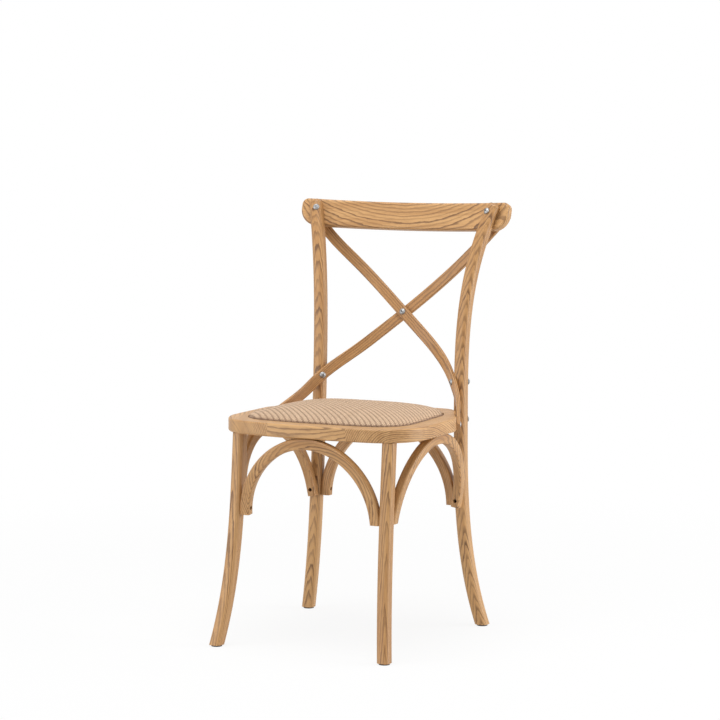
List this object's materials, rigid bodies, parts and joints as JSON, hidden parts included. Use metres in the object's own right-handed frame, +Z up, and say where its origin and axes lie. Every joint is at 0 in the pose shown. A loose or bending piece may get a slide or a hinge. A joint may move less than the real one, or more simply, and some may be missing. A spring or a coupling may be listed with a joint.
{
  "type": "dining chair",
  "caption": "Wooden dining chair with crossed bent slats in the back, curved arches under the seat frame, splayed legs and a crowned woven seat pad.",
  "frame": {"origin": "on the floor, below the middle of the chair's whole outline", "axes": "+Z up, -Y towards the front of the chair, +X to the chair's side on the right of a viewer in front"},
  "size_m": [0.483, 0.5232, 0.8792],
  "materials": {
    "wood": "light oiled oak or ash, satin, open grain",
    "dowels": "plain beech",
    "board": "plain plywood",
    "foam": "upholstery foam",
    "weave": "fine twill weave of flat strands, matte",
    "fasteners": "zinc plated steel",
    "dark_screws": "blackened steel",
    "glides": "dark plastic"
  },
  "bodies": {
    "root": {"arch_back": "wood", "arch_front": "wood", "arch_left": "wood", "arch_leg_screws": "dark_screws", "arch_right": "wood", "arch_seat_screws": "dark_screws", "crest_bolts": "fasteners", "crest_rail": "wood", "cross_bolt": "fasteners", "cross_nut": "fasteners", "cross_slat_front": "wood", "cross_slat_rear": "wood", "foot_glides": "glides", "front_leg_left": "wood", "front_leg_right": "wood", "post_seat_bolts": "fasteners", "rear_leg_left": "wood", "rear_leg_right": "wood", "seat_board": "board", "seat_board_screws": "dark_screws", "seat_foam": "foam", "seat_rail_back": "wood", "seat_rail_dowels": "dowels", "seat_rail_front": "wood", "seat_rail_left": "wood", "seat_rail_right": "wood", "seat_weave": "weave", "slat_crest_screws": "fasteners", "slat_post_bolts": "fasteners", "slat_post_nuts": "fasteners", "slat_seat_bolts": "fasteners"}
  },
  "joints": []
}
